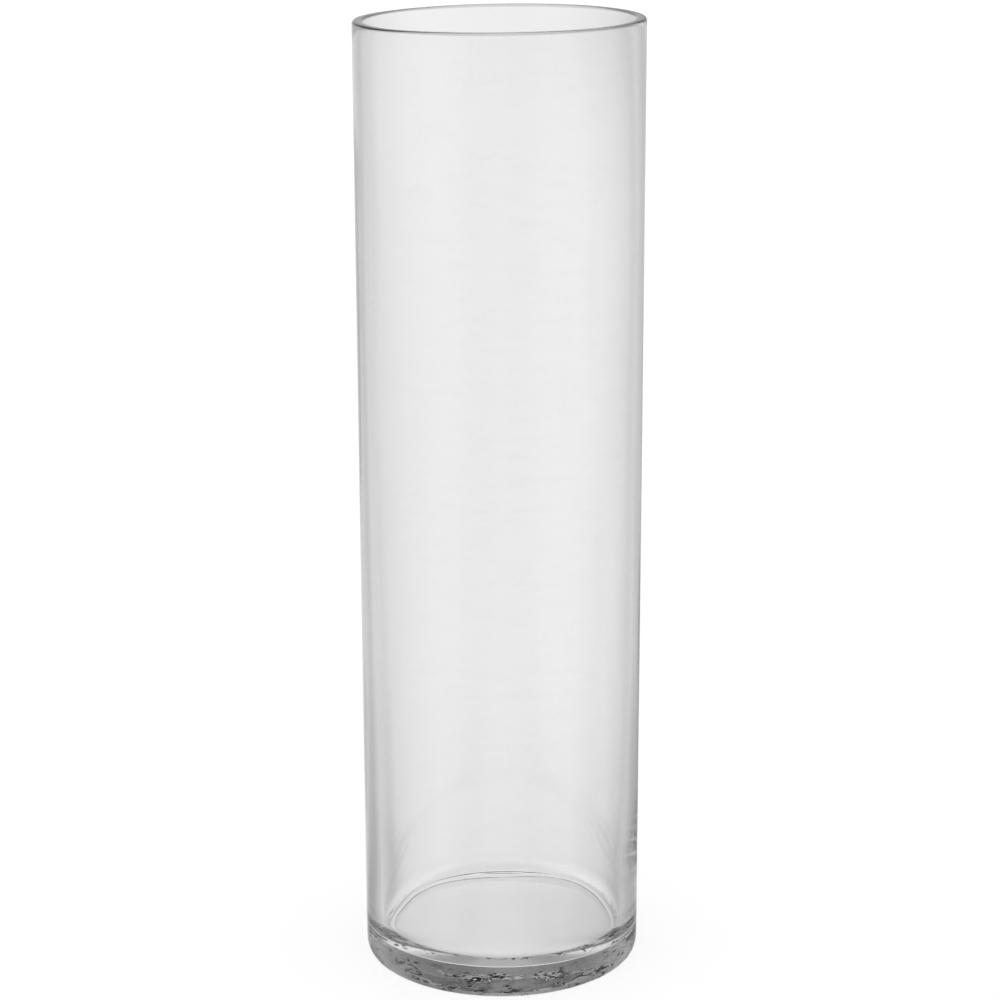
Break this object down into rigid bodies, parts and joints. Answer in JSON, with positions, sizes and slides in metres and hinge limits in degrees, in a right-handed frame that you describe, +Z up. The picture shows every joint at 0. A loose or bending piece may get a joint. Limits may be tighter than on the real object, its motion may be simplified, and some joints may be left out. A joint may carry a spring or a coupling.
{
  "type": "glass cylinder vase",
  "caption": "Tall clear glass cylinder vase with a fire-polished lip and a heavy solid foot, standing open for cut flowers, branches or a drop-in liner.",
  "frame": {"origin": "centre of the flat ring that the vase stands on, at the level of the surface under it", "axes": "+Z up along the axis of the cylinder towards the open mouth; +X and +Y are equal, because the vase is a body of revolution"},
  "size_m": [0.12, 0.12, 0.4064],
  "materials": {
    "clear_glass": "clear soda-lime glass, fire-polished, smooth wall with faint waviness; cold-mould wrinkles under the foot"
  },
  "bodies": {
    "root": {"glass_body": "clear_glass"}
  },
  "joints": []
}
